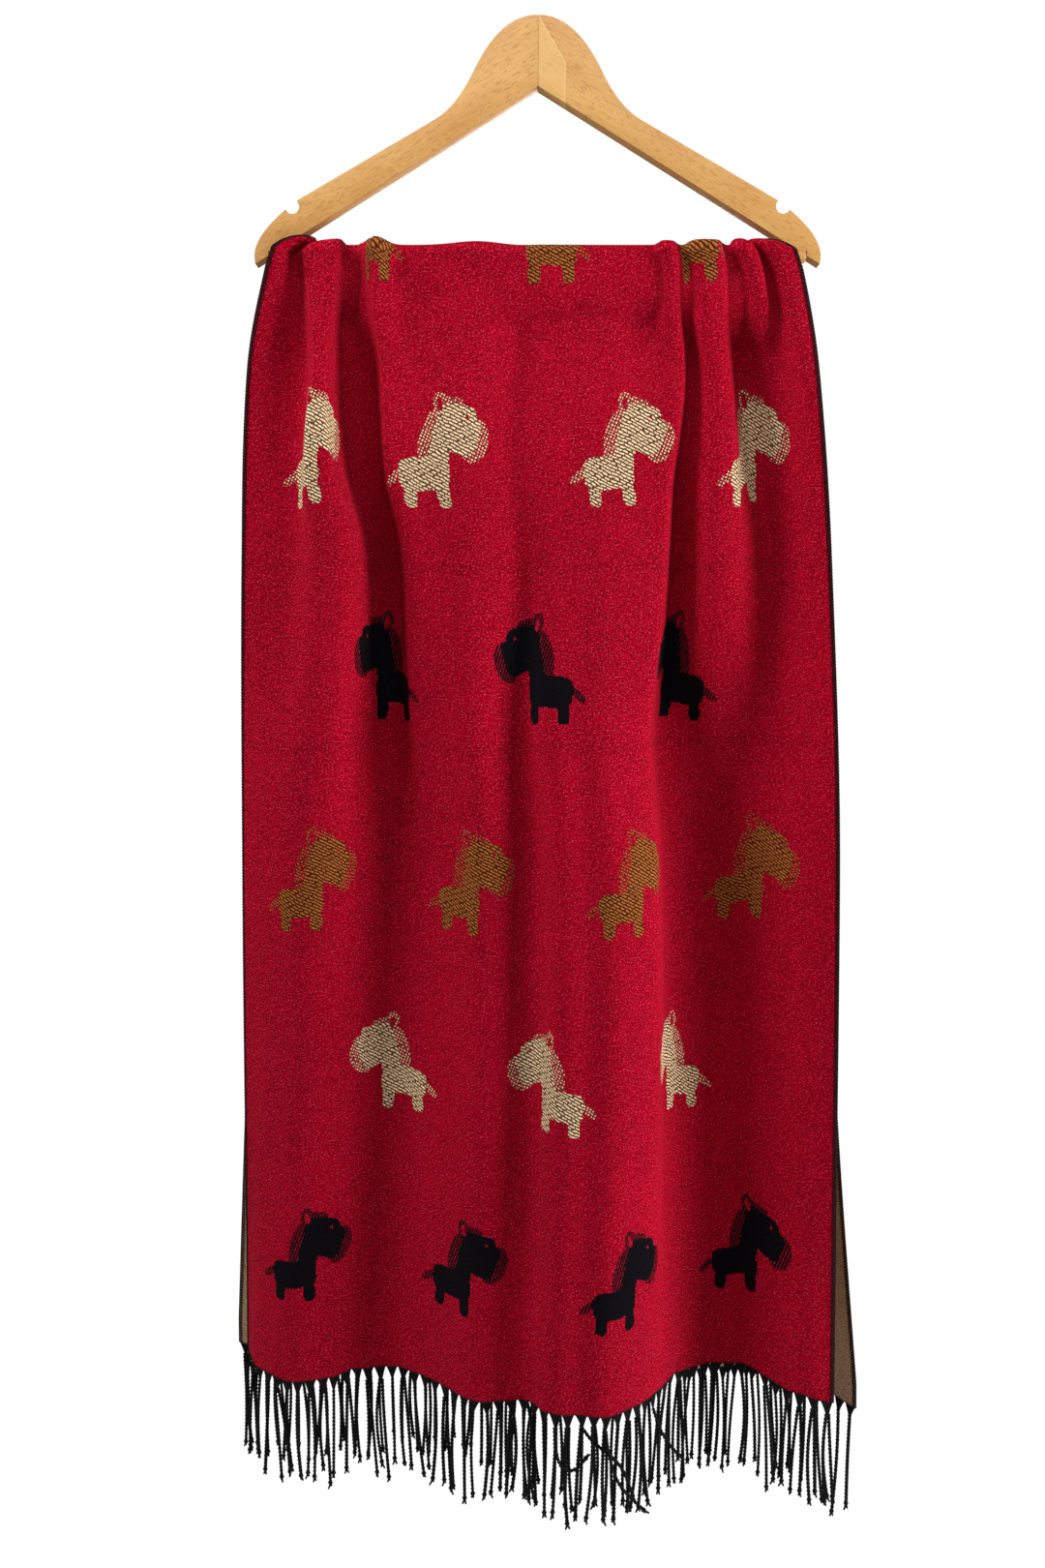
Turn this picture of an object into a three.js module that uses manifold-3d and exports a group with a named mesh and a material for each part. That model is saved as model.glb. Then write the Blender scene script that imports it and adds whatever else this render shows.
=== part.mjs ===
// A jacquard scarf with twisted tassels, folded in half over the trouser bar of a wooden hanger.
// Millimetres. +X is the viewer's right, +Y points away behind the hanger, and +Z is up.
// The origin is the top of the hanger's crown, in the middle of its thickness, where a hook holds it.
import * as THREE from "three";
import Module from "manifold-3d";
import { mergeVertices } from "three/addons/utils/BufferGeometryUtils.js";

const wasm = await Module();
wasm.setup();

// ---- Driving sizes ----
const GAP = 0.3; // between pieces that touch on the real thing

// Hanger: two wooden arms glued at the middle, and a round bar between their ends
const ARM_THICK = 12;
const ARM_EDGE = 2; // rounding of the arms' edges
const ARM_SPAN = 220.5; // from the middle to the outer end
const ARM_DROP = 182; // from the crown's top to the lowest point of the end
const ARM_UNDER = 51; // from the crown's top to the underside at the middle
const END_RISE = 5; // height of the blunt outer end
const END_SLANT = 0.5; // how far the blunt end leans outwards
const NECK = { out: 80, down: 76 }; // where the straight upper edge turns up to the crown
const CROWN = { out: 48, down: 38 }; // where the crown's dome starts
const SHOULDER = { out: 186, down: 134.5 }; // where the straight upper edge rounds down to the end
// Points that the arm's round stretches lean towards
const END_BULGE = { out: 221.5, down: 164 };
const SHOULDER_BULGE = { out: 206, down: 148 };
const NECK_HOLLOW = { out: 63, down: 66.5 };
const CROWN_BULGE = { out: 37, down: 17.5 };
const CROWN_WIDE = 22; // how far the crown's top runs level before it turns down
const NOTCH = { out: 190.8, down: 139.2, radius: 5.6 }; // for dress straps
const BAR_RADIUS = 6;
const BAR_DOWN = 174; // from the crown's top to the bar's middle
const BAR_HALF = 210; // half of the bar's length, with its ends let into the arms
const CURVE_PARTS = 10; // facets of each round stretch of an arm
const ROD_SIDES = 24;
const EDGE_STEPS = 3; // facets of the arms' rounded edges

// Scarf: one cloth, draped over the bar so that both falls hang nearly level
const CLOTH_WIDTH = 600;
const WALL = 1.2;
const FRONT_DROP = { left: 946, right: 937 }; // from the bar's middle down to the hem
const BACK_DROP = { left: 956, right: 964 };
const HEM_GAP = 0.5; // from the hem straight down to the tassels
const FRINGE_ENDS = [
  { down: HEM_GAP, thick: 2 },
  { down: 100, thick: 4 },
];

// ---- How the cloth falls ----
// Outlines: how far the side edges lie from the middle (x) and out from the bar's middle plane,
// at each drop below the bar. Out is towards the viewer on the front fall and away on the back fall.
const FRONT_OUTLINE = [
  { drop: 0, left: -203, right: 199, leftOut: 9, rightOut: 9 },
  { drop: 18, left: -210, right: 205, leftOut: 10, rightOut: 10 },
  { drop: 95, left: -228, right: 219, leftOut: 8, rightOut: 15 },
  { drop: 245, left: -239, right: 233, leftOut: -4, rightOut: 20 },
  { drop: 495, left: -250, right: 244, leftOut: -24, rightOut: 32 },
  { drop: 940, left: -261, right: 248, leftOut: -38, rightOut: 50 },
];
const BACK_OUTLINE = [
  { drop: 0, left: -203, right: 199, leftOut: 9, rightOut: 9 },
  { drop: 18, left: -208, right: 204, leftOut: 11, rightOut: 11 },
  { drop: 95, left: -222, right: 216, leftOut: 18, rightOut: 16 },
  { drop: 245, left: -233, right: 230, leftOut: 34, rightOut: 14 },
  { drop: 495, left: -246, right: 243, leftOut: 52, rightOut: 6 },
  { drop: 700, left: -260, right: 256, leftOut: 58, rightOut: -4 },
  { drop: 940, left: -275, right: 276, leftOut: 64, rightOut: -20 },
];

// Broad waves that grow towards the hem: tilt in degrees, plus where the cloth comes outwards
// going from left to right. from and to are distances across the flat cloth.
const FRONT_WAVES = [
  { from: 0, to: 74, tilt: 28 },
  { from: 74, to: 152, tilt: -28 },
  { from: 152, to: 234, tilt: 24 },
  { from: 234, to: 330, tilt: 46 },
  { from: 330, to: 400, tilt: -28 },
  { from: 400, to: 490, tilt: -44 },
  { from: 490, to: 600, tilt: 30 },
];
const BACK_WAVES = [
  { from: 0, to: 74, tilt: -28 },
  { from: 74, to: 152, tilt: 24 },
  { from: 152, to: 345, tilt: -24 },
  { from: 345, to: 490, tilt: 34 },
  { from: 490, to: 600, tilt: -46 },
];
const WAVE_GROWTH = [0, 0.08, 0.3, 0.85, 1]; // share of the tilt at each of FOLD_DROPS
const WAVE_BLEND = 26;

// Gathers at the bar that open out below it. at: distance across the flat cloth, and turn: degrees,
// plus outwards, at each of FOLD_DROPS. half: half width at the bar and low down.
// tuck: share of the cloth that lies unseen inside the gather at the bar.
const FOLD_DROPS = [0, 95, 245, 495, 940];
const GATHERS = [
  { at: [16, 26, 26, 20, 10], half: [12, 10], turn: [-34, -16, 0, 0, 20], tuck: 0 },
  { at: [38, 62, 60, 58, 58], half: [9, 15], turn: [120, 112, 30, 0, 0], tuck: 0.8 },
  { at: [90, 104, 120, 112, 100], half: [9, 27], turn: [-90, -84, -46, -10, 0], tuck: 0.4 },
  { at: [124, 138, 150, 150, 150], half: [8, 6], turn: [100, 10, 0, 0, 0], tuck: 0.7 },
  { at: [150, 166, 176, 172, 170], half: [9, 13], turn: [110, 104, 66, 0, 0], tuck: 0.8 },
  { at: [176, 186, 200, 200, 200], half: [12, 18], turn: [-26, -12, -8, 0, 0], tuck: 0 },
  { at: [268, 268, 266, 260, 266], half: [20, 22], turn: [-12, -26, -34, -58, -56], tuck: 0 },
  { at: [296, 296, 296, 296, 295], half: [8, 9], turn: [5, 14, 16, 8, 6], tuck: 0 },
  { at: [326, 326, 326, 324, 322], half: [10, 12], turn: [0, 0, -4, -18, -20], tuck: 0 },
  { at: [346, 346, 346, 346, 346], half: [10, 11], turn: [0, 0, 4, 18, 20], tuck: 0 },
  { at: [404, 410, 410, 410, 410], half: [8, 8], turn: [60, 10, 0, 0, 0], tuck: 0.6 },
  { at: [437, 436, 424, 422, 420], half: [9, 14], turn: [-116, -116, -104, -46, 0], tuck: 0.8 },
  { at: [452, 456, 460, 470, 474], half: [12, 20], turn: [34, 56, 58, 14, 0], tuck: 0 },
  { at: [498, 504, 522, 530, 536], half: [9, 20], turn: [-110, -84, -56, -8, 0], tuck: 0.8 },
  { at: [520, 544, 566, 566, 566], half: [9, 50], turn: [36, 26, 20, 0, 0], tuck: 0 },
  { at: [553, 560, 560, 560, 560], half: [9, 12], turn: [-100, -8, 0, 0, 0], tuck: 0.8 },
  { at: [566, 576, 580, 588, 594], half: [12, 16], turn: [50, 40, 10, 0, -30], tuck: 0 },
];
const GATHER_SOFT = 0.5; // softness of a gather's shoulders
const BACK_FADE = 1.25; // the gathers open out sooner behind than in front
const TUCK_REACH = 70; // how far below the bar the hidden cloth comes free
const LEVEL_REACH = 80; // how far below the bar the gathers stay level with each other
const LEVEL_SPAN = 26; // half width of the stretch that is kept level
const PRESSED = 1.5; // lift that is pressed to half on the bar
const PRESS_REACH = 45;
const PRESS_LEAST = 0.01; // keeps the press from dividing by nothing
const FALLS_APART = 2 * (BAR_RADIUS + GAP) + WALL; // the least distance from the front fall to the back
const CLEAR_REACH = 20; // drop over which the cloth stays clear of the bar and the arms
const CLEAR_BEND = 0.008;
const STEEPEST = 2.2; // radians that a gather may turn through
const FLATTEST = 0.2; // least share of the tables' turns
const TRIES = 30; // halvings in the search for the share that spans the outline

// ---- Grid of the faceted cloth ----
const STEP = 2; // of the sums across the cloth
const MOST_SLANT = 2.4; // the wall is no deeper than this many times the cloth's thickness
const LEAST_FALL = 0.6; // the cloth always comes down by this share of its length
const LEAST_ADVANCE = 0.22; // a facet always moves on across by this share of its width
const LEAST_COLUMN = 2;
const COLUMN_SIDE = 0.9; // share of a gather's half width where its columns stand
const EXTRA_COLUMNS = [0, 6, 228, 240, 370, 386, 592, 600];
const DROP_SHARES = [0, 0.009, 0.019, 0.034, 0.052, 0.074, 0.1, 0.13, 0.165, 0.205, 0.25, 0.3, 0.36]
  .concat([0.43, 0.51, 0.6, 0.69, 0.78, 0.86, 0.93, 1]);
const BAR_STEPS = 8; // facets from the front of the bar round to the back
const TOP_PINCH = { from: 150, share: 0.5 }; // the ends draw in on top of the bar, under the arms
const TOP_LIE = 0.3; // share of their lift that the gathers keep on top of the bar
const WOOD = BAR_RADIUS + GAP + WALL / 2; // from the bar's middle to the middle of the cloth's thickness

// ---- Tolerances of the meshes ----
const SAME_POINT = 0.01; // outline points closer than this are one
const SAME_VERTEX = 1e-4;

// ---- Curves through table rows ----
// A smooth curve through the values at the stations that never overshoots them.
function between(stations, values, drop) {
  const last = stations.length - 1;
  const d = Math.min(Math.max(drop, stations[0]), stations[last]);
  const span = (i) => stations[i + 1] - stations[i];
  const slope = (i) => (values[i + 1] - values[i]) / span(i);
  const tangent = (i) => {
    if (i === 0) return slope(0);
    if (i === last) return slope(last - 1);
    const before = slope(i - 1);
    const after = slope(i);
    if (before * after <= 0) return 0;
    const a = 2 * span(i) + span(i - 1);
    const b = span(i) + 2 * span(i - 1);
    return (a + b) / (a / before + b / after);
  };
  let i = 0;
  while (i < last - 1 && d > stations[i + 1]) i += 1;
  const h = span(i);
  const t = (d - stations[i]) / h;
  const start = (1 + 2 * t) * (1 - t) ** 2 * values[i] + t * (1 - t) ** 2 * h * tangent(i);
  const end = t * t * (3 - 2 * t) * values[i + 1] + t * t * (t - 1) * h * tangent(i + 1);
  return start + end;
}

const rise = (t) => 0.5 * (1 + Math.tanh(t));
const hump = (t) => 0.5 * (Math.tanh((t + 1) / GATHER_SOFT) - Math.tanh((t - 1) / GATHER_SOFT));
const blend = (a, b, share) => a + (b - a) * share;

// ---- One level section across the cloth ----
// Returns x and out at every STEP across the flat cloth, at one drop below the bar.
function section(fall, drop) {
  const foldDrop = drop * fall.fade;
  const growth = between(FOLD_DROPS, WAVE_GROWTH, drop);
  const low = Math.min(foldDrop / FOLD_DROPS[2], 1);
  const gathers = GATHERS.map((g) => ({
    at: between(FOLD_DROPS, g.at, foldDrop),
    half: blend(g.half[0], g.half[1], low),
    turn: between(FOLD_DROPS, g.turn, foldDrop),
    tuck: g.tuck * Math.exp(-((foldDrop / TUCK_REACH) ** 2)),
  }));
  const tilts = [];
  const shares = [];
  for (let u = STEP / 2; u < CLOTH_WIDTH; u += STEP) {
    let tilt = 0;
    for (const w of fall.waves) {
      const on = w.from === 0 ? 1 : rise((u - w.from) / WAVE_BLEND);
      const off = w.to === CLOTH_WIDTH ? 0 : rise((u - w.to) / WAVE_BLEND);
      tilt += growth * w.tilt * (on - off);
    }
    let share = 1;
    for (const g of gathers) {
      const h = hump((u - g.at) / g.half);
      tilt += g.turn * h;
      share *= 1 - g.tuck * h;
    }
    tilts.push(THREE.MathUtils.degToRad(tilt));
    shares.push(share);
  }
  const row = (key) => between(fall.outline.map((o) => o.drop), fall.outline.map((o) => o[key]), drop);
  const left = row("left");
  const width = row("right") - left;
  // The tilts are scaled together until the section spans its outline.
  const angle = (scale, i) => THREE.MathUtils.clamp(scale * tilts[i], -STEEPEST, STEEPEST);
  const advance = (scale, i) => Math.max(shares[i] * Math.cos(angle(scale, i)), LEAST_ADVANCE) * STEP;
  let flat = FLATTEST;
  let steep = STEEPEST;
  for (let turn = 0; turn < TRIES; turn += 1) {
    const scale = (flat + steep) / 2;
    const across = tilts.reduce((sum, _, i) => sum + advance(scale, i), 0);
    if (across > width) flat = scale;
    else steep = scale;
  }
  const xs = [0];
  const outs = [0];
  shares.forEach((share, i) => {
    xs.push(xs[i] + advance(flat, i));
    outs.push(outs[i] + share * Math.sin(angle(flat, i)) * STEP);
  });
  const last = xs.length - 1;
  const fit = width / xs[last];
  const drift = row("rightOut") - row("leftOut") - outs[last];
  const x = xs.map((value) => left + value * fit);
  const out = outs.map((value, i) => row("leftOut") + value + (drift * i) / last);
  return { x, out: levelled(out, drop) };
}

// The back fall's section, which always hangs clear behind the front one.
function backSection(drop) {
  const line = section(BACK, drop);
  const front = section(FRONT, drop);
  const last = front.x.length - 1;
  const out = line.x.map((x, i) => {
    let j = 0;
    while (j < last && front.x[j + 1] < x) j += 1;
    return Math.max(line.out[i], FALLS_APART - front.out[j]);
  });
  return { x: line.x, out };
}

// Near the bar every gather stands on the bar itself, and nothing comes nearer than the wood.
function levelled(out, drop) {
  const held = Math.exp(-drop / LEVEL_REACH);
  const reach = Math.round(LEVEL_SPAN / STEP);
  const low = out.map((_, i) => Math.min(...out.slice(Math.max(i - reach, 0), i + reach + 1)));
  const smooth = low.map((_, i) => {
    const near = low.slice(Math.max(i - reach, 0), i + reach + 1);
    return near.reduce((a, b) => a + b, 0) / near.length;
  });
  const clear = WOOD - Math.max(drop - CLEAR_REACH, 0) ** 2 * CLEAR_BEND;
  const pressed = PRESSED * Math.exp(-((drop / PRESS_REACH) ** 2)) + PRESS_LEAST;
  return out.map((value, i) => {
    const lift = value - held * (smooth[i] - WOOD) - WOOD;
    return Math.max(WOOD + (lift * Math.abs(lift)) / (Math.abs(lift) + pressed), clear);
  });
}

// ---- Closed walls from two matching grids of points ----
function wall(name, inner, outer, material) {
  const rows = inner.length;
  const columns = inner[0].length;
  const points = [...inner.flat(), ...outer.flat()];
  const inside = (r, c) => r * columns + c;
  const outside = (r, c) => (rows + r) * columns + c;
  const faces = [];
  const quad = (a, b, c, d) => faces.push([a, b, c], [a, c, d]);
  for (let r = 0; r < rows - 1; r += 1) {
    for (let c = 0; c < columns - 1; c += 1) {
      quad(outside(r, c), outside(r + 1, c), outside(r + 1, c + 1), outside(r, c + 1));
      quad(inside(r, c), inside(r, c + 1), inside(r + 1, c + 1), inside(r + 1, c));
    }
    quad(inside(r, 0), inside(r + 1, 0), outside(r + 1, 0), outside(r, 0));
    const e = columns - 1;
    quad(inside(r + 1, e), inside(r, e), outside(r, e), outside(r + 1, e));
  }
  for (let c = 0; c < columns - 1; c += 1) {
    const b = rows - 1;
    quad(inside(0, c + 1), inside(0, c), outside(0, c), outside(0, c + 1));
    quad(inside(b, c), inside(b, c + 1), outside(b, c + 1), outside(b, c));
  }
  const volume = faces.reduce((sum, [a, b, c]) => {
    const cross = new THREE.Vector3().crossVectors(points[b], points[c]);
    return sum + points[a].dot(cross);
  }, 0);
  const index = volume > 0 ? faces : faces.map(([a, b, c]) => [a, c, b]);
  const geometry = new THREE.BufferGeometry().setFromPoints(points);
  geometry.setIndex(index.flat());
  geometry.computeVertexNormals();
  return named(name, geometry, material);
}

function named(name, geometry, material) {
  const mesh = new THREE.Mesh(geometry, material);
  mesh.name = name;
  return mesh;
}

// ---- The falls ----
// Columns follow the gathers down the cloth, one on each side of every gather.
function columnsAt(fall, drop) {
  const foldDrop = drop * fall.fade;
  const low = Math.min(foldDrop / FOLD_DROPS[2], 1);
  const sides = GATHERS.flatMap((g) => {
    const at = between(FOLD_DROPS, g.at, foldDrop);
    const half = blend(g.half[0], g.half[1], low) * COLUMN_SIDE;
    return [at - half, at + half];
  });
  const columns = [...EXTRA_COLUMNS, ...sides].sort((a, b) => a - b);
  const last = columns.length - 1;
  for (let i = 1; i <= last; i += 1) columns[i] = Math.max(columns[i], columns[i - 1] + LEAST_COLUMN);
  for (let i = last; i >= 0; i -= 1) {
    columns[i] = Math.min(columns[i], CLOTH_WIDTH - (last - i) * LEAST_COLUMN);
  }
  return columns;
}

// Half of the wall's depth, so that a slanting stretch keeps the cloth's thickness.
const halfWall = (slant) => (WALL / 2) * Math.min(Math.hypot(1, slant), MOST_SLANT);

// A level section with its height at every STEP: the warp keeps its length as it swings sideways.
function hangingLines(fall) {
  const lines = DROP_SHARES.map((share) => {
    const drop = share * fall.drop.left;
    return fall === BACK ? backSection(drop) : section(fall, drop);
  });
  lines[0].z = lines[0].x.map(() => -BAR_DOWN - GAP / 2);
  for (let r = 1; r < lines.length; r += 1) {
    const above = lines[r - 1];
    const below = lines[r];
    below.z = below.x.map((x, i) => {
      const full = blend(fall.drop.left, fall.drop.right, i / (below.x.length - 1));
      const length = (DROP_SHARES[r] - DROP_SHARES[r - 1]) * full;
      const sideways = Math.hypot(x - above.x[i], below.out[i] - above.out[i]);
      return above.z[i] - Math.sqrt(Math.max(length ** 2 - sideways ** 2, (LEAST_FALL * length) ** 2));
    });
  }
  return lines;
}

// The points of a section where the columns cross it.
function pointsOn(line, columns) {
  const last = line.x.length - 1;
  return columns.map((u) => {
    const i = Math.min(Math.floor(u / STEP), last - 1);
    const t = u / STEP - i;
    return {
      x: blend(line.x[i], line.x[i + 1], t),
      out: blend(line.out[i], line.out[i + 1], t),
      z: blend(line.z[i], line.z[i + 1], t),
      half: halfWall((line.out[i + 1] - line.out[i]) / (line.x[i + 1] - line.x[i])),
    };
  });
}

const fallRows = (fall) =>
  hangingLines(fall).map((line, r) => pointsOn(line, columnsAt(fall, DROP_SHARES[r] * fall.drop.left)));

function fallWall(name, rows, facing, material) {
  const grid = (side) =>
    rows.map((row) => row.map((p) => new THREE.Vector3(p.x, facing * (p.out + side * p.half), p.z)));
  return wall(name, grid(-1), grid(1), material);
}

// The fringe: a plain wall of the tassels' reach, straight down from the hem.
function fringeWall(name, rows, facing, material) {
  const hem = rows[rows.length - 1];
  const grid = (side) =>
    FRINGE_ENDS.map((end) =>
      hem.map((p) => new THREE.Vector3(p.x, facing * (p.out + (side * end.thick) / 2), p.z - end.down)),
    );
  return wall(name, grid(-1), grid(1), material);
}

// The stretch that lies over the bar, from the front fall round to the back fall.
function barWall(name, edge, material) {
  const angles = Array.from({ length: BAR_STEPS + 1 }, (_, step) => (Math.PI * step) / BAR_STEPS);
  const grid = (side) =>
    angles.map((angle) =>
      edge.map((p) => {
        const lie = blend(1, TOP_LIE, Math.sin(angle));
        const half = blend(p.half, WALL / 2, Math.sin(angle));
        const radius = WOOD + (p.out - WOOD) * lie + side * half;
        const beyond = Math.max(Math.abs(p.x) - TOP_PINCH.from, 0);
        const x = p.x - Math.sign(p.x) * beyond * TOP_PINCH.share * Math.sin(angle);
        const z = GAP / 2 - BAR_DOWN + radius * Math.sin(angle);
        return new THREE.Vector3(x, -radius * Math.cos(angle), z);
      }),
    );
  return wall(name, grid(-1), grid(1), material);
}

const FRONT = { outline: FRONT_OUTLINE, waves: FRONT_WAVES, drop: FRONT_DROP, fade: 1 };
const BACK = { outline: BACK_OUTLINE, waves: BACK_WAVES, drop: BACK_DROP, fade: BACK_FADE };

// ---- The hanger ----
function curve(shape, near, far, end) {
  shape.bezierCurveTo(near.out, -near.down, far.out, -far.down, end.out, -end.down);
}

function armShape() {
  const shape = new THREE.Shape();
  const inner = GAP / 2;
  shape.moveTo(inner, -ARM_UNDER);
  shape.lineTo(ARM_SPAN, -ARM_DROP);
  shape.lineTo(ARM_SPAN + END_SLANT, -ARM_DROP + END_RISE);
  curve(shape, END_BULGE, SHOULDER_BULGE, SHOULDER);
  shape.lineTo(NECK.out, -NECK.down);
  shape.quadraticCurveTo(NECK_HOLLOW.out, -NECK_HOLLOW.down, CROWN.out, -CROWN.down);
  curve(shape, CROWN_BULGE, { out: CROWN_WIDE, down: 0 }, { out: inner, down: 0 });
  // Where two stretches meet, their shared point is kept once.
  const points = shape.getPoints(CURVE_PARTS);
  return new THREE.Shape(points.filter((p, i) => i === 0 || p.distanceTo(points[i - 1]) > SAME_POINT));
}

// A closed mesh as a manifold solid, and back again.
function solid(geometry) {
  const plain = geometry.clone();
  plain.deleteAttribute("normal");
  plain.deleteAttribute("uv");
  const merged = mergeVertices(plain, SAME_VERTEX);
  const triVerts = new Uint32Array(merged.index.array);
  const vertProperties = merged.attributes.position.array;
  return new wasm.Manifold(new wasm.Mesh({ numProp: 3, vertProperties, triVerts }));
}

function geometryOf(manifold) {
  const mesh = manifold.getMesh();
  const positions = new Float32Array(mesh.numVert * 3);
  for (let v = 0; v < mesh.numVert; v += 1) {
    for (let axis = 0; axis < 3; axis += 1) {
      positions[3 * v + axis] = mesh.vertProperties[v * mesh.numProp + axis];
    }
  }
  const geometry = new THREE.BufferGeometry();
  geometry.setAttribute("position", new THREE.BufferAttribute(positions, 3));
  geometry.setIndex(new THREE.BufferAttribute(mesh.triVerts, 1));
  geometry.computeVertexNormals();
  return geometry;
}

function rod(radius, halfLength) {
  const geometry = new THREE.CylinderGeometry(radius, radius, 2 * halfLength, ROD_SIDES);
  geometry.rotateZ(Math.PI / 2);
  geometry.translate(0, 0, -BAR_DOWN);
  return geometry;
}

function arm(name, side, material) {
  const geometry = new THREE.ExtrudeGeometry(armShape(), {
    depth: ARM_THICK - 2 * ARM_EDGE,
    bevelThickness: ARM_EDGE,
    bevelSize: ARM_EDGE,
    bevelOffset: -ARM_EDGE,
    bevelSegments: EDGE_STEPS,
  });
  geometry.translate(0, 0, -(ARM_THICK - 2 * ARM_EDGE) / 2);
  geometry.rotateX(Math.PI / 2);
  if (side < 0) geometry.rotateZ(Math.PI);
  const seat = solid(rod(BAR_RADIUS + GAP, BAR_HALF + GAP));
  const strapCut = new THREE.CylinderGeometry(NOTCH.radius, NOTCH.radius, 2 * ARM_THICK, ROD_SIDES);
  strapCut.translate(side * NOTCH.out, 0, -NOTCH.down);
  const cut = solid(geometry).subtract(seat).subtract(solid(strapCut));
  return named(name, geometryOf(cut), material);
}

// ---- Colours ----
const beech = new THREE.MeshStandardMaterial({ color: 0xcf9a55, roughness: 0.45, metalness: 0 });
const red = new THREE.MeshStandardMaterial({ color: 0xa80d2a, roughness: 0.9, metalness: 0 });
const black = new THREE.MeshStandardMaterial({ color: 0x17161a, roughness: 0.85, metalness: 0 });

const front = fallRows(FRONT);
const back = fallRows(BACK);
const scarf = new THREE.Group();
scarf.add(fallWall("front_fall", front, -1, red));
scarf.add(barWall("bar_fold", front[0], red));
scarf.add(fallWall("back_fall", back, 1, red));
scarf.add(fringeWall("front_fringe", front, -1, black));
scarf.add(fringeWall("back_fringe", back, 1, black));

const hanger = new THREE.Group();
hanger.add(arm("hanger_arm_left", -1, beech));
hanger.add(arm("hanger_arm_right", 1, beech));
hanger.add(named("trouser_bar", rod(BAR_RADIUS, BAR_HALF), beech));

const root = new THREE.Group();
root.add(hanger, scarf);
export default root;
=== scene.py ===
"""A double-faced jacquard scarf with twisted tassels, folded over the trouser bar of a wooden hanger.

Metres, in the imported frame: +X is the viewer's right, +Y points away behind the hanger, +Z is up.
The tables below are in millimetres and MM turns them into metres.
"""

import math

import bpy
import numpy as np
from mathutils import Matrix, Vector


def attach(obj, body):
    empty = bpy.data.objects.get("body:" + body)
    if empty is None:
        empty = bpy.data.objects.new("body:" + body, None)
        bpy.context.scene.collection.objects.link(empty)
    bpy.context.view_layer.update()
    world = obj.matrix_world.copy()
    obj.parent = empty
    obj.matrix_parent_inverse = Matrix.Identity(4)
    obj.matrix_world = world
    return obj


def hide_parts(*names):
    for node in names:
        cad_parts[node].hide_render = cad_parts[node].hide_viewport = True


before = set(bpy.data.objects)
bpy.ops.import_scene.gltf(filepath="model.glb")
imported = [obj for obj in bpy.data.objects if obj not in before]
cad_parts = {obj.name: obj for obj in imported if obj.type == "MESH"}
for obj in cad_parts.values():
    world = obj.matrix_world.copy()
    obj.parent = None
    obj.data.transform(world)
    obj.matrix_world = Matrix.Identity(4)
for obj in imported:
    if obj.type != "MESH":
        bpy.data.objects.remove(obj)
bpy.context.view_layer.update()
rng = np.random.default_rng(23)
MM = 0.001

# ---- Driving sizes, in millimetres ----
GAP = 0.3  # between neighbouring solids
CLOTH_WIDTH = 600
WALL = 1.2  # thickness of the cloth
FRONT_DROP = (946, 937)  # from the bar's middle down to the hem, at the left and the right edge
BACK_DROP = (956, 964)

QUARTER = math.pi / 2  # a quarter turn
ARM_THICK = 12
SEAM = 0.04  # each arm's distance from the middle where they are glued
ARM_SPAN = 220.5
ARM_DROP = 182
ARM_UNDER = 51  # height of the board at the seam
ARM_ROUNDING = 1.5
BAR_ROUNDING = 1.0
NOTCH = {"out": 190.8, "down": 139.2, "radius": 5.6, "through": 40}
BAR_RADIUS = 6
BAR_DOWN = 174
BAR_HALF = 210

# ---- How the cloth falls ----
# Rows of an outline: drop below the bar, x of the left and right edge, and how far out each edge is.
FRONT_OUTLINE = [
    (0, -203, 199, 9, 9),
    (18, -210, 205, 10, 10),
    (95, -228, 219, 8, 15),
    (245, -239, 233, -4, 20),
    (495, -250, 244, -24, 32),
    (940, -261, 248, -38, 50),
]
BACK_OUTLINE = [
    (0, -203, 199, 9, 9),
    (18, -208, 204, 11, 11),
    (95, -222, 216, 18, 16),
    (245, -233, 230, 34, 14),
    (495, -246, 243, 52, 6),
    (700, -260, 256, 58, -4),
    (940, -275, 276, 64, -20),
]
# Rows of broad waves: from and to across the flat cloth, and tilt in degrees (plus comes outwards).
FRONT_WAVES = [
    (0, 74, 28), (74, 152, -28), (152, 234, 24), (234, 330, 46),
    (330, 400, -28), (400, 490, -44), (490, 600, 30),
]
BACK_WAVES = [(0, 74, -28), (74, 152, 24), (152, 345, -24), (345, 490, 34), (490, 600, -46)]
FOLD_DROPS = [0, 95, 245, 495, 940]
WAVE_GROWTH = [0, 0.08, 0.3, 0.85, 1]
WAVE_BLEND = 26  # how gently one broad wave passes into the next
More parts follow.
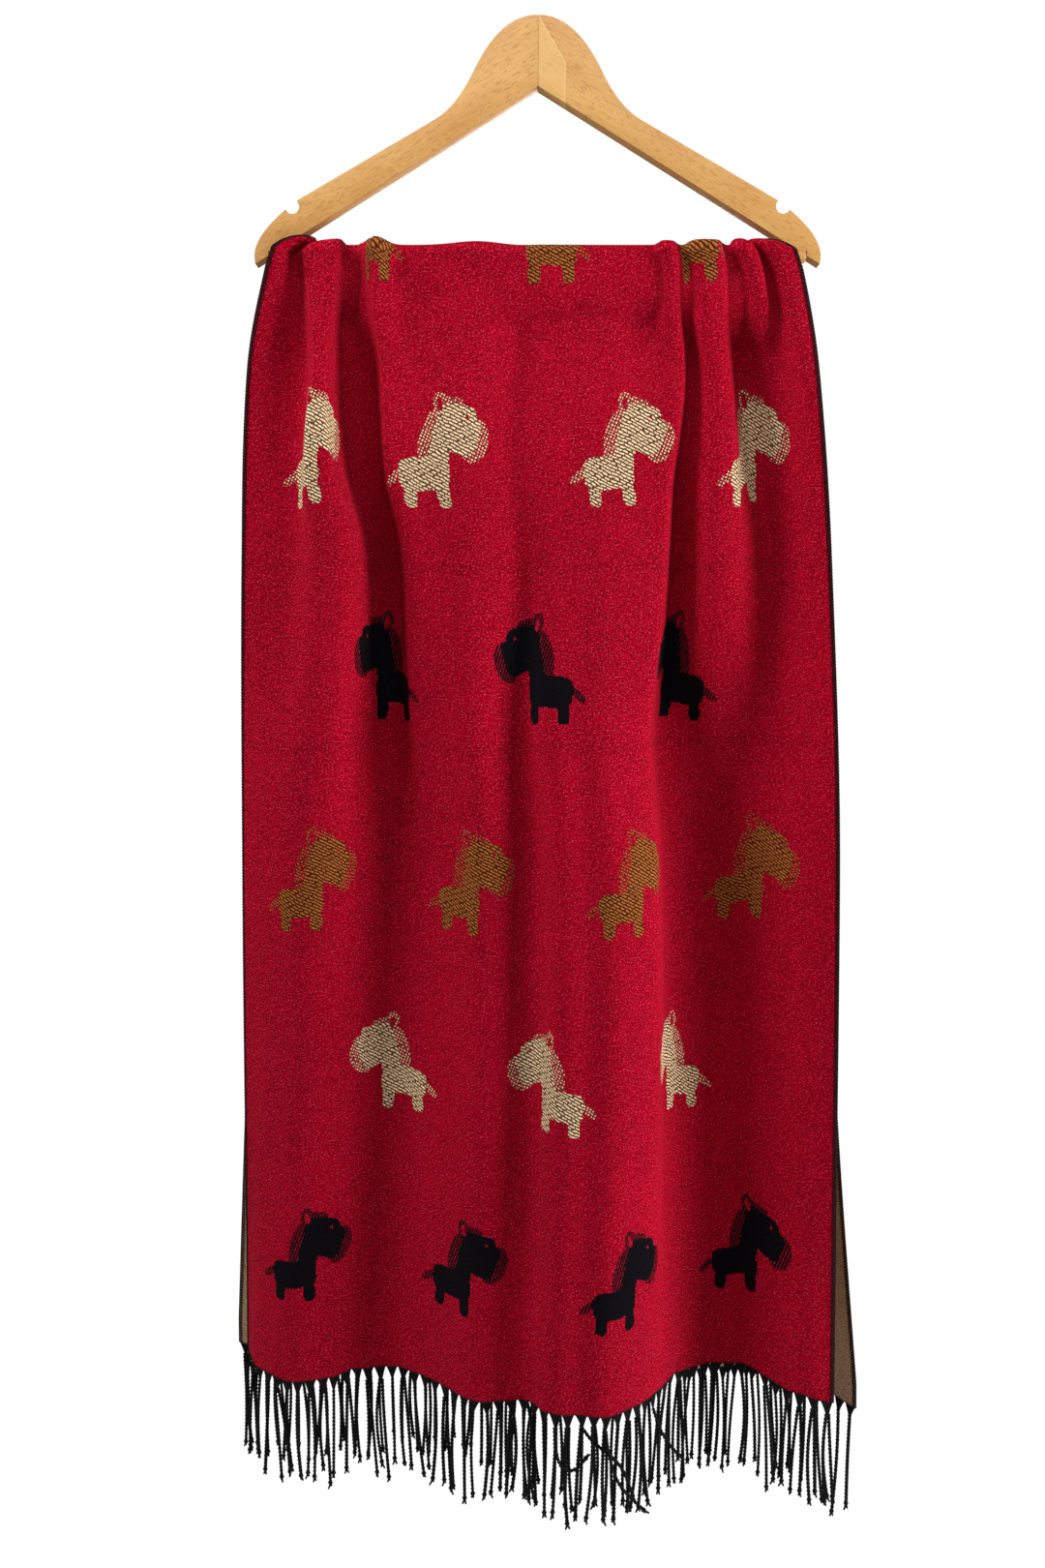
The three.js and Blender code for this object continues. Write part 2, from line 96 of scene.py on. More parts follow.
# Rows of gathers: place across the cloth and turn in degrees at each of FOLD_DROPS, half width at
# the bar and low down, and the share of cloth that lies unseen inside the gather at the bar.
GATHERS = [
    ((16, 26, 26, 20, 10), (-34, -16, 0, 0, 20), (12, 10), 0),
    ((38, 62, 60, 58, 58), (120, 112, 30, 0, 0), (9, 15), 0.8),
    ((90, 104, 120, 112, 100), (-90, -84, -46, -10, 0), (9, 27), 0.4),
    ((124, 138, 150, 150, 150), (100, 10, 0, 0, 0), (8, 6), 0.7),
    ((150, 166, 176, 172, 170), (110, 104, 66, 0, 0), (9, 13), 0.8),
    ((176, 186, 200, 200, 200), (-26, -12, -8, 0, 0), (12, 18), 0),
    ((268, 268, 266, 260, 266), (-12, -26, -34, -58, -56), (20, 22), 0),
    ((296, 296, 296, 296, 295), (5, 14, 16, 8, 6), (8, 9), 0),
    ((326, 326, 326, 324, 322), (0, 0, -4, -18, -20), (10, 12), 0),
    ((346, 346, 346, 346, 346), (0, 0, 4, 18, 20), (10, 11), 0),
    ((404, 410, 410, 410, 410), (60, 10, 0, 0, 0), (8, 8), 0.6),
    ((437, 436, 424, 422, 420), (-116, -116, -104, -46, 0), (9, 14), 0.8),
    ((452, 456, 460, 470, 474), (34, 56, 58, 14, 0), (12, 20), 0),
    ((498, 504, 522, 530, 536), (-110, -84, -56, -8, 0), (9, 20), 0.8),
    ((520, 544, 566, 566, 566), (36, 26, 20, 0, 0), (9, 50), 0),
    ((553, 560, 560, 560, 560), (-100, -8, 0, 0, 0), (9, 12), 0.8),
    ((566, 576, 580, 588, 594), (50, 40, 10, 0, -30), (12, 16), 0),
]
GATHER_SOFT = 0.5  # softness of a gather's flanks, as a share of its half width
TUCK_REACH = 70  # drop over which the cloth hidden in the gathers opens out
LEVEL_REACH = 80  # drop over which the gathers stop standing on the bar
LEVEL_SPAN = 26  # half width of the window that finds the lowest cloth near the bar
PRESSED = 1.5  # lift that is pressed to half on the bar
PRESS_REACH = 45  # drop over which the pressing fades
LEAST_LIFT = 0.01  # keeps the pressing from dividing by nought
FALLS_APART = 2 * (BAR_RADIUS + GAP) + WALL
CLEAR_REACH = 20  # drop down to which the cloth stays outside the wood
CLEAR_BEND = 0.008  # how fast it may come inwards below that
LEAST_FALL = 0.6  # share of its length that the warp drops at the least
LEAST_ADVANCE = 0.22  # share of a step that each step takes along the bar at the least
STEEPEST = 2.2  # radians that a gather may turn through
SCALES = (0.2, 2.2)  # range in which the search for a section's scale of tilt begins
BISECTIONS = 30  # halvings in that search
CREASE_START = 12  # drop over which the soft creases come in below the bar
TOP_LIE = 0.3  # share of their lift that the gathers keep on top of the bar
TOP_PINCH = {"from": 150, "share": 0.5}  # the ends draw in on top of the bar, under the arms
# Rows of soft creases: place across, drop, lean in degrees, width, length and height outwards.
FRONT_CREASES = [
    (183, 34, 6, 9, 26, 2.0),
    (207, 26, -20, 13, 20, -2.6),
    (226, 30, 10, 8, 22, 1.6),
    (258, 20, 12, 12, 16, -1.2),
    (291, 30, 0, 9, 26, -2.6),
    (316, 34, -14, 9, 24, 2.2),
    (336, 22, 24, 8, 18, 1.4),
    (364, 28, -30, 14, 22, -2.6),
    (384, 52, 12, 12, 30, -1.8),
    (412, 40, 8, 8, 34, 1.8),
    (200, 70, -12, 9, 40, -1.4),
    (240, 120, 6, 16, 70, 1.6),
    (560, 70, 24, 10, 30, -1.6),
    (585, 60, 10, 8, 40, 1.5),
    (40, 60, -14, 9, 40, -1.4),
    (130, 330, -4, 14, 90, 1.2),
    (330, 260, 3, 30, 110, -1.8),
    (250, 420, 4, 22, 120, 1.5),
    (385, 520, -3, 24, 130, 1.6),
    (110, 640, 3, 20, 120, -1.5),
    (540, 430, -4, 20, 120, 1.6),
    (470, 700, 3, 18, 120, -1.4),
    (215, 800, -3, 24, 90, 1.6),
    (560, 820, 5, 20, 90, -1.6),
]
BACK_CREASES = [
    (210, 22, -60, 20, 12, -1.6),
    (286, 16, 20, 10, 16, 1.4),
    (322, 26, 75, 24, 12, -1.8),
    (376, 50, -30, 12, 30, 1.4),
    (60, 70, 16, 10, 40, -1.4),
    (560, 80, -18, 10, 40, 1.6),
    (240, 240, -3, 26, 110, -1.6),
    (420, 330, 4, 22, 120, 1.6),
    (130, 480, 3, 20, 120, 1.5),
    (330, 600, -3, 26, 130, -1.6),
    (500, 620, 4, 20, 120, 1.5),
    (210, 820, 3, 22, 90, -1.5),
    (540, 850, -4, 20, 80, 1.6),
]
RIPPLES = 7  # faint waves that keep the cloth from lying quite true
RIPPLE_HEIGHT = 0.35
RIPPLE_WIDE = (8, 30)  # millimetres across the cloth for each radian of a ripple
RIPPLE_DRIFT = (60, 400)  # and down it

# ---- Grid of the cloth ----
STEP = 1.0  # of the sums across the cloth
COLUMNS = 225  # points across the mesh
FRONT_ROWS = 108
BACK_ROWS = 72
BAR_ROWS = 12
ROW_CROWDING = 1.7  # rows lie closer together near the bar

# fade: how much sooner a fall's gathers open out; facing: which side of the bar it hangs on.
FRONT = {
    "outline": FRONT_OUTLINE, "waves": FRONT_WAVES, "creases": FRONT_CREASES,
    "drop": FRONT_DROP, "rows": FRONT_ROWS, "fade": 1.0, "facing": -1,
}
BACK = {
    "outline": BACK_OUTLINE, "waves": BACK_WAVES, "creases": BACK_CREASES,
    "drop": BACK_DROP, "rows": BACK_ROWS, "fade": 1.25, "facing": 1,
}

# ---- Pattern of the cloth, in millimetres on the flat cut ----
REPEAT = 150
PONY_NARROWING = 1.07  # the ponies are drawn this much narrower than their tables say
ROW_PITCH = 174
FIRST_ROW = -9  # middle of the pony row that lies over the bar
PLAIN_EDGE = 75  # even rows stop short of the long edges
EASE_FROM = 520  # below this the rows draw a little closer together
EASE = 0.065

# ---- Fringe ----
ROOTS = 56  # gathered tops of the tassels on each hem
ROOT_DEEP = 12  # from the hem down to where a root's ends meet
ROOT_WIDE = 0.44  # half width of a root, as a share of the pitch
ROOT_RISE = 1.2  # how far the warp ends start above the hem
ROOT_ENDS = (-1, -0.6, -0.2, 0.2, 0.6, 1)  # places of the warp ends, as shares of the half width
ROOT_MARGIN = 0.5  # the warp ends keep this far in from the long edges
PAIRS = 0.32  # share of roots with a pair of cords
FRONT_LONG = 90  # length of the tassels in front
BACK_LONG = 102
CORD_RADIUS = 1.7
CORD_SIDES = 8
CORD_PINCH = 0.18  # how deeply the cord's section is pinched between its two plies
CORD_TURN = 2 * math.pi / 7.0  # radians a millimetre: the plies turn once in 7
CORD_RINGS = 72
STRAY_RINGS = 56
STRAY_AHEAD = 1.5  # the stray cords lie this far in front of the roots
FRONT_SEED = 5
BACK_SEED = 11
KNOT_HALF = 1.6
KNOT_RADII = (1.5, 2.3, 1.4)
FRAY_LONG = 5.5
FRAY_RINGS = 6
FRAY_RADII = np.linspace(1.2, 0.8, FRAY_RINGS)
ROOT_RADII = np.linspace(0.95, 0.85, FRAY_RINGS)

# ---- Overlocked long edges ----
STITCH_PITCH = 2.5
STITCH_DEEP = 2.8  # how far the stitches reach in from the edge
THREAD_RADIUS = 0.45
BRAID_OUT = 0.45  # how far the braid lies beyond the edge
BRAID_SWAY = 0.35


# ======== Camera ========
CAMERA_LENS = 28.13  # millimetres, on a sensor 36 wide
CAMERA_PLACE = (-0.01175, -1.005, -0.4686)
CAMERA_PITCH = 83  # degrees from straight down: it looks a little below the level


def make_camera():
    """The camera in front of the hanger, a metre away."""
    data = bpy.data.cameras.new("camera")
    data.lens = CAMERA_LENS
    data.sensor_width = 36
    data.clip_end = 40
    camera = bpy.data.objects.new("camera", data)
    camera.location = CAMERA_PLACE
    camera.rotation_euler = (math.radians(CAMERA_PITCH), 0, 0)
    bpy.context.scene.collection.objects.link(camera)
    bpy.context.scene.camera = camera


# ======== Shapes shared by the soft pieces ========
def mesh_piece(name, points, faces, uv=None):
    """A smooth mesh object from points in millimetres, with an optional UV for each point, in metres."""
    mesh = bpy.data.meshes.new(name)
    mesh.from_pydata((np.asarray(points) * MM).tolist(), [], faces)
    if uv is not None:
        corner = np.zeros(len(mesh.loops), dtype=np.int32)
        mesh.loops.foreach_get("vertex_index", corner)
        layer = mesh.uv_layers.new(name="flat")
        layer.data.foreach_set("uv", np.asarray(uv)[corner].ravel())
    mesh.polygons.foreach_set("use_smooth", [True] * len(mesh.polygons))
    mesh.update()
    piece = bpy.data.objects.new(name, mesh)
    bpy.context.scene.collection.objects.link(piece)
    return piece


def select_only(piece):
    """Makes this piece the one that the operators act on."""
    bpy.ops.object.select_all(action="DESELECT")
    bpy.context.view_layer.objects.active = piece
    piece.select_set(True)


def shade_smooth(piece, degrees):
    """Smooth shading, broken where the faces turn by more than some degrees."""
    select_only(piece)
    bpy.ops.object.shade_smooth_by_angle(angle=math.radians(degrees))


def apply_modifiers(piece):
    """Applies the piece's modifiers in their order."""
    select_only(piece)
    for modifier in list(piece.modifiers):
        bpy.ops.object.modifier_apply(modifier=modifier.name)
    piece.select_set(False)


class Strands:
    """Many closed tubes gathered into one mesh."""

    def __init__(self):
        self.points = []
        self.faces = []

    def add(self, path, radii, sides=6, lobe=0.0, turn=0.0):
        """A tube along path. lobe pinches it into two plies, wound by turn radians a millimetre."""
        path = np.asarray(path, float)
        radii = np.broadcast_to(radii, len(path))
        tangent = np.gradient(path, axis=0)
        tangent /= np.linalg.norm(tangent, axis=1)[:, None]
        along = np.concatenate([[0], np.cumsum(np.linalg.norm(np.diff(path, axis=0), axis=1))])
        side = np.cross(tangent[0], (0, 1, 0))
        if np.linalg.norm(side) < 0.2:
            side = np.cross(tangent[0], (1, 0, 0))
        start = sum(len(p) for p in self.points)
        angles = np.arange(sides) * 2 * math.pi / sides
        for at, direction, radius, run in zip(path, tangent, radii, along):
            side = side - direction * side.dot(direction)
            side /= np.linalg.norm(side)
            up = np.cross(direction, side)
            reach = radius * (1 - lobe + lobe * np.cos(2 * angles))[:, None]
            spin = angles + turn * run
            self.points.append(at + reach * (np.cos(spin)[:, None] * side + np.sin(spin)[:, None] * up))
        rings = len(path)
        for ring in range(rings - 1):
            base = start + ring * sides
            for i in range(sides):
                j = (i + 1) % sides
                self.faces.append((base + i, base + j, base + sides + j, base + sides + i))
        last = start + (rings - 1) * sides
        self.faces.append(tuple(start + i for i in reversed(range(sides))))
        self.faces.append(tuple(last + i for i in range(sides)))

    def piece(self, name):
        """All the tubes so far as one object."""
        return mesh_piece(name, np.concatenate(self.points), self.faces)


# ======== The cloth's fall, as level sections ========
def between(stations, values, drop):
    """A smooth curve through the values at the stations that never overshoots them."""
    stations = np.asarray(stations, float)
    values = np.asarray(values, float)
    span = np.diff(stations)
    slope = np.diff(values) / span
    tangent = np.concatenate([slope[:1], np.zeros(len(span) - 1), slope[-1:]])
    for i in range(1, len(span)):
        before, after = slope[i - 1], slope[i]
        if before * after > 0:
            a, b = 2 * span[i] + span[i - 1], span[i] + 2 * span[i - 1]
            tangent[i] = (a + b) / (a / before + b / after)
    drop = min(max(drop, stations[0]), stations[-1])
    i = min(max(int(np.searchsorted(stations, drop)) - 1, 0), len(span) - 1)
    t = (drop - stations[i]) / span[i]
    start = (1 + 2 * t) * (1 - t) ** 2 * values[i] + t * (1 - t) ** 2 * span[i] * tangent[i]
    end = t * t * (3 - 2 * t) * values[i + 1] + t * t * (t - 1) * span[i] * tangent[i + 1]
    return start + end


def rise(t):
    """A smooth step from nought to one."""
    return 0.5 * (1 + np.tanh(t))


def hump(t):
    """A smooth hump of height one between -1 and 1."""
    return 0.5 * (np.tanh((t + 1) / GATHER_SOFT) - np.tanh((t - 1) / GATHER_SOFT))


ACROSS = np.arange(0, CLOTH_WIDTH + STEP / 2, STEP)
MIDDLES = (ACROSS[:-1] + ACROSS[1:]) / 2
WOOD = BAR_RADIUS + GAP + WALL / 2  # from the bar's middle to the middle of the cloth's thickness


def tilts_at(fall, drop):
    """The cloth's tilt in radians, and its seen share, at every step across."""
    fold_drop = drop * fall["fade"]
    growth = between(FOLD_DROPS, WAVE_GROWTH, drop)
    low = min(fold_drop / FOLD_DROPS[2], 1)
    tilt = np.zeros(len(MIDDLES))
    share = np.ones(len(MIDDLES))
    for start, end, lean in fall["waves"]:
        on = 1 if start == 0 else rise((MIDDLES - start) / WAVE_BLEND)
        off = 0 if end == CLOTH_WIDTH else rise((MIDDLES - end) / WAVE_BLEND)
        tilt += growth * lean * (on - off)
    for places, turns, half, tuck in GATHERS:
        place = between(FOLD_DROPS, places, fold_drop)
        width = half[0] + (half[1] - half[0]) * low
        shape = hump((MIDDLES - place) / width)
        tilt += between(FOLD_DROPS, turns, fold_drop) * shape
        share *= 1 - tuck * math.exp(-((fold_drop / TUCK_REACH) ** 2)) * shape
    return np.radians(tilt), share


def levelled(out, drop):
    """Near the bar every gather stands on the bar itself, and nothing comes nearer than the wood."""
    held = math.exp(-drop / LEVEL_REACH)
    reach = round(LEVEL_SPAN / STEP)
    window = np.lib.stride_tricks.sliding_window_view
    low = window(np.pad(out, reach, mode="edge"), 2 * reach + 1).min(axis=1)
    smooth = window(np.pad(low, reach, mode="edge"), 2 * reach + 1).mean(axis=1)
    clear = WOOD - max(drop - CLEAR_REACH, 0) ** 2 * CLEAR_BEND
    pressed = PRESSED * math.exp(-((drop / PRESS_REACH) ** 2))
    lift = out - held * (smooth - WOOD) - WOOD
    return np.maximum(WOOD + lift * np.abs(lift) / (np.abs(lift) + pressed + LEAST_LIFT), clear)


def advance(share, angle):
    """How far each step across the cloth takes it along the bar."""
    return np.maximum(share * np.cos(np.clip(angle, -STEEPEST, STEEPEST)), LEAST_ADVANCE) * STEP


def section(fall, drop):
    """x and out at every step across the flat cloth, at one drop below the bar."""
    tilt, share = tilts_at(fall, drop)
    outline = np.array(fall["outline"], float)
    left, right, left_out, right_out = (between(outline[:, 0], outline[:, i], drop) for i in (1, 2, 3, 4))
    flat, steep = SCALES
    for _ in range(BISECTIONS):
        scale = (flat + steep) / 2
        width = advance(share, scale * tilt).sum()
        flat, steep = (scale, steep) if width > right - left else (flat, scale)
    angle = np.clip(flat * tilt, -STEEPEST, STEEPEST)
    x = np.concatenate([[0], np.cumsum(advance(share, angle))])
    out = np.concatenate([[0], np.cumsum(share * np.sin(angle)) * STEP])
    x = left + x * (right - left) / x[-1]
    out = left_out + out + (right_out - left_out - out[-1]) * np.linspace(0, 1, len(out))
    out = levelled(out, drop) + creases_at(fall, drop)
    if fall is BACK:
        front = section(FRONT, drop)
        out = np.maximum(out, FALLS_APART - np.interp(x, *front))
    return x, out


def creases_at(fall, drop):
    """Soft troughs and ridges laid over the fall, none of them on the bar itself."""
    out = np.zeros(len(ACROSS))
    for place, low, lean, wide, long, high in fall["creases"]:
        cos, sin = math.cos(math.radians(lean)), math.sin(math.radians(lean))
        a = (ACROSS - place) * cos + (drop - low) * sin
        b = (drop - low) * cos - (ACROSS - place) * sin
        out += high * np.exp(-((a / wide) ** 2) - (b / long) ** 2)
    for wave, shift, drift in fall["ripples"]:
        out += RIPPLE_HEIGHT * np.sin(ACROSS / wave + shift + drop / drift)
    return out * (1 - math.exp(-((drop / CREASE_START) ** 2)))


def hanging_rows(fall):
    """Rows of points (x, y, z) from the bar down to the hem. The warp keeps its length as it swings."""
    shares = np.linspace(0, 1, fall["rows"] + 1) ** ROW_CROWDING
    full = fall["drop"][0] + (fall["drop"][1] - fall["drop"][0]) * ACROSS / CLOTH_WIDTH
    sections = [section(fall, share * fall["drop"][0]) for share in shares]
    z = np.full(len(ACROSS), -BAR_DOWN - GAP / 2)
    rows = []
    for r, (x, out) in enumerate(sections):
        if r:
            length = (shares[r] - shares[r - 1]) * full
            sideways = np.hypot(x - sections[r - 1][0], out - sections[r - 1][1])
            z = z - np.sqrt(np.maximum(length**2 - sideways**2, (LEAST_FALL * length) ** 2))
        rows.append(np.stack([x, fall["facing"] * out, z], axis=1))
    return np.array(rows), shares[:, None] * full


def bar_rows(edge):
    """The stretch over the bar, between the front fall's first row and the back fall's."""
    x = edge[:, 0]
    out = -edge[:, 1]
    beyond = np.sign(x) * np.maximum(np.abs(x) - TOP_PINCH["from"], 0)
    rows = []
    for angle in np.linspace(0, math.pi, BAR_ROWS + 1)[1:-1]:
        sin = math.sin(angle)
        radius = WOOD + (out - WOOD) * (1 + (TOP_LIE - 1) * sin)
        across = x - beyond * TOP_PINCH["share"] * sin
        up = GAP / 2 - BAR_DOWN + radius * sin
        rows.append(np.stack([across, -radius * math.cos(angle), up], axis=1))
    return np.array(rows)


def draw_ripples():
    """Gives each fall its own faint waves."""
    for fall in (FRONT, BACK):
        fall["ripples"] = [
            (
                rng.uniform(*RIPPLE_WIDE),
                rng.uniform(0, 6.3),
                rng.uniform(*RIPPLE_DRIFT) * rng.choice((-1, 1)),
            )
            for _ in range(RIPPLES)
        ]


def make_scarf():
    """The whole cloth as one shell, and the grid of its middle surface for what is sewn on."""
    draw_ripples()
    front, front_run = hanging_rows(FRONT)
    back, back_run = hanging_rows(BACK)
    over = bar_rows(front[0])
    quarter = QUARTER * WOOD
    turns = np.linspace(quarter, -quarter, BAR_ROWS + 1)[1:-1]
    over_run = np.repeat(turns[:, None], len(ACROSS), axis=1)
    grid = np.concatenate([front[::-1], over, back])
    run = np.concatenate([front_run[::-1] + quarter, over_run, -back_run - quarter])
    columns = np.linspace(0, CLOTH_WIDTH, COLUMNS)
    pick = columns / STEP
    low = np.minimum(pick.astype(int), len(ACROSS) - 2)
    t = (pick - low)[:, None]
    points = grid[:, low] * (1 - t) + grid[:, low + 1] * t
    runs = run[:, low] * (1 - t[:, 0]) + run[:, low + 1] * t[:, 0]
    uv = np.stack([np.broadcast_to(columns, runs.shape), runs], axis=-1) * MM
    rows = len(grid)
    corner = (np.arange(rows - 1)[:, None] * COLUMNS + np.arange(COLUMNS - 1)).ravel()
    faces = np.stack([corner, corner + 1, corner + COLUMNS + 1, corner + COLUMNS], axis=1)
    piece = mesh_piece("scarf", points.reshape(-1, 3), faces.tolist(), uv.reshape(-1, 2))
    shell = piece.modifiers.new("thickness", "SOLIDIFY")
    shell.thickness = WALL * MM
    shell.offset = 0
    shell.material_offset = 1
    shell.material_offset_rim = 0
    return piece, {"front": front, "back": back, "grid": grid}


# ======== Fringe ========
def on_row(row, across):
    """The point of a row of the cloth at a distance across it."""
    return np.array([np.interp(across, ACROSS, row[:, i]) for i in range(3)])


def cord_path(top, lean, away, bow, length):
    """A hanging cord: it leaves the root, leans and bows a little, and hangs under its own weight."""
    s = np.linspace(0, 1, CORD_RINGS)
    x = top[0] + length * math.sin(lean) * s**1.3 + bow * np.sin(math.pi * s)
    y = top[1] + away * s
    step = length / (CORD_RINGS - 1)
    falls = np.sqrt(np.maximum(step**2 - np.diff(x) ** 2, 0.01))
    drop = np.concatenate([[0], np.cumsum(falls)])
    return np.stack([x, y, top[2] - drop], axis=1)


def add_fray(strands, path):
    """The cord's knotted end, with its two plies splayed below the knot."""
    end = path[-1]
    down = path[-1] - path[-3]
    down /= np.linalg.norm(down)
    knot = [end - down * KNOT_HALF, end, end + down * KNOT_HALF]
    strands.add(knot, KNOT_RADII, sides=6)
    for side in (-1, 1):
        spread = side * rng.uniform(0.1, 0.42)
        long = FRAY_LONG * rng.uniform(0.5, 1.1)
        s = np.linspace(0, 1, FRAY_RINGS)
        line = end + np.outer(s * long, down)
        line[:, 0] += spread * long * s**1.4
        line[:, 1] += rng.uniform(-1, 1) * s
        strands.add(line, FRAY_RADII, sides=5)


def add_root(strands, row, across, half, apex):
    """Warp ends gathered from the hem into the top of a tassel."""
    for share in ROOT_ENDS:
        place = min(max(across + share * half, ROOT_MARGIN), CLOTH_WIDTH - ROOT_MARGIN)
        top = on_row(row, place) + (0, 0, ROOT_RISE)
        s = np.linspace(0, 1, FRAY_RINGS)[:, None]
        bend = s**0.8
        line = top + (apex - top) * np.concatenate([bend, bend, s], axis=1)
        strands.add(line, ROOT_RADII, sides=5)


def add_cord(strands, path, radius):
    """A twisted cord with its knot and splayed end."""
    strands.add(path, radius, CORD_SIDES, CORD_PINCH, CORD_TURN)
    add_fray(strands, path)


def make_fringe(row, long, seed, unruly=()):
    """Tassels along one hem: one or two twisted cords from each gathered root.

    Roots named in unruly leave out the cord that a stray one takes the place of.
    """
    draw = np.random.default_rng(seed)
    strands = Strands()
    pitch = CLOTH_WIDTH / ROOTS
    roots = []
    for i in range(ROOTS):
        across = (i + 0.5) * pitch
        hem = on_row(row, across)
        apex = hem + (draw.normal(0, 0.7), draw.normal(0, 0.4), -ROOT_DEEP * draw.uniform(0.85, 1.15))
        add_root(strands, row, across, pitch * ROOT_WIDE, apex)
        roots.append(apex)
        cords = 2 if draw.random() < PAIRS else 1
        lean = math.radians(draw.normal(0, 1.8))
        bow = draw.normal(0, 1.2)
        for cord in range(cords):
            side = (2 * cord - 1) * (cords - 1)
            if i in unruly and side >= 0:
                continue
            top = apex + (side * 1.2, side * 0.4, 2)
            spread = math.radians(side * draw.uniform(0.3, 2.4))
            length = long * draw.normal(1, 0.06) - ROOT_DEEP
            away = draw.uniform(-2, 2)
            path = cord_path(top, lean + spread, away, bow + side * draw.normal(0.6, 1.2), length)
            add_cord(strands, path, CORD_RADIUS * draw.uniform(0.92, 1.12))
    return strands, roots


def smooth_path(points, rings):
    """A round curve through a few points, as a Catmull-Rom chain."""
    points = np.array(points, float)
    ends = np.concatenate([[2 * points[0] - points[1]], points, [2 * points[-1] - points[-2]]])
    out = []
    for t in np.linspace(0, len(points) - 1, rings):
        i = min(int(t), len(points) - 2)
        f = t - i
        a, b, c, d = ends[i : i + 4]
        bend = (2 * a - 5 * b + 4 * c - d) * f**2
        twist = (3 * b - a - 3 * c + d) * f**3
        out.append(0.5 * (2 * b + (c - a) * f + bend + twist))
    return np.array(out)


# Stray cords of the front fringe, in millimetres right of and below the root that each leaves.
STRAYS = {
    29: [(0, 0), (1, -22), (7, -34), (16, -34), (25, -24)],
    31: [(0, 0), (9, -12), (24, -25), (34, -38), (42, -60)],
    33: [(0, 0), (3, -22), (11, -46), (24, -62), (32, -70)],
    38: [(0, 0), (6, -18), (14, -32), (22, -42)],
}


def make_fringes(grid):
    """The tassels of both hems, with the stray cords in front."""
    front, roots = make_fringe(grid["front"][-1], FRONT_LONG, FRONT_SEED, unruly=STRAYS)
    for root, bends in STRAYS.items():
        path = smooth_path([roots[root] + (dx, -STRAY_AHEAD, dz) for dx, dz in bends], STRAY_RINGS)
        add_cord(front, path, CORD_RADIUS)
    back = make_fringe(grid["back"][-1], BACK_LONG, BACK_SEED)[0]
    return front.piece("front_tassels"), back.piece("back_tassels")


# ======== Overlocked edges ========
def edge_frames(grid, near, inner):
    """Points along one long edge, from hem to hem, with the way in and the way out of the face."""
    rows = grid["grid"]
    edge, inwards = rows[:, near], rows[:, inner] - rows[:, near]
    run = np.concatenate([[0], np.cumsum(np.linalg.norm(np.diff(edge, axis=0), axis=1))])
    inwards /= np.linalg.norm(inwards, axis=1)[:, None]
    along = np.gradient(edge, axis=0)
    along /= np.linalg.norm(along, axis=1)[:, None]
    face = np.cross(inwards, along) * (1 if near == 0 else -1)
    face /= np.linalg.norm(face, axis=1)[:, None]
    return run, edge, inwards, face


def read_along(run, values, at):
    """The values along an edge, read at some distances from its start."""
    return np.stack([np.interp(at, run, values[:, i]) for i in range(3)], axis=1)


def make_overlock(name, grid, near, inner):
    """A zigzag thread that wraps the raw edge, and a braid along its rim."""
    run, edge, inwards, face = edge_frames(grid, near, inner)
    stitches = int(run[-1] / STITCH_PITCH)
    over = WALL / 2 + THREAD_RADIUS * 0.7
    # One stitch: how far in from the edge, how far out of the face, and the share of the pitch
    stitch = [
        (-0.35, 0.0, 0.0), (0.8, over, 0.14), (STITCH_DEEP, over * 0.85, 0.42), (0.8, over, 0.6),
        (-0.35, 0.0, 0.7), (0.8, -over, 0.78), (STITCH_DEEP, -over * 0.85, 0.88), (0.8, -over, 0.95),
    ]
    places = np.array([
        (inside, proud, (n + share) * STITCH_PITCH)
        for n in range(stitches)
        for inside, proud, share in stitch
    ])
    root, into, out = (read_along(run, values, places[:, 2]) for values in (edge, inwards, face))
    strands = Strands()
    strands.add(root + into * places[:, :1] + out * places[:, 1:2], THREAD_RADIUS, sides=4)
    at = np.arange(0, run[-1], STITCH_PITCH / 4)
    sway = np.sin(at * 2 * math.pi / STITCH_PITCH)[:, None] * BRAID_SWAY
    root, into, out = (read_along(run, values, at) for values in (edge, inwards, face))
    strands.add(root - into * BRAID_OUT + out * sway, THREAD_RADIUS * 1.1, sides=5)
    return strands.piece(name)


# ======== Hanger ========
def board(name, knots):
    """A flat board in the XZ plane, from knots given as (handle before, knot, handle after)."""
    curve = bpy.data.curves.new(name, "CURVE")
    curve.dimensions = "2D"
    curve.fill_mode = "BOTH"
    curve.extrude = ARM_THICK / 2 * MM
    curve.resolution_u = 20
    spline = curve.splines.new("BEZIER")
    spline.bezier_points.add(len(knots) - 1)
    for knot, (before, at, after) in zip(spline.bezier_points, knots):
        knot.handle_left_type = knot.handle_right_type = "FREE"
        knot.handle_left = Vector((*before, 0)) * MM
        knot.co = Vector((*at, 0)) * MM
        knot.handle_right = Vector((*after, 0)) * MM
    spline.use_cyclic_u = True
    piece = bpy.data.objects.new(name, curve)
    bpy.context.scene.collection.objects.link(piece)
    piece.rotation_euler = (math.radians(90), 0, 0)
    select_only(piece)
    bpy.ops.object.convert(target="MESH")
    bpy.ops.object.transform_apply(location=True, rotation=True, scale=True)
    return piece


def rod(radius, length, place, rotation):
    """A round rod, given in millimetres."""
    bpy.ops.object.select_all(action="DESELECT")
    bpy.ops.mesh.primitive_cylinder_add(
        vertices=48, radius=radius * MM, depth=length * MM, location=Vector(place) * MM, rotation=rotation
    )
    return bpy.context.object


def round_edges(piece, width, segments, least_turn):
    """Rounds the edges that turn by more than some degrees."""
    rounding = piece.modifiers.new("rounded edges", "BEVEL")
    rounding.width = width * MM
    rounding.segments = segments
    rounding.limit_method = "ANGLE"
    rounding.angle_limit = math.radians(least_turn)
    rounding.use_clamp_overlap = True
    apply_modifiers(piece)


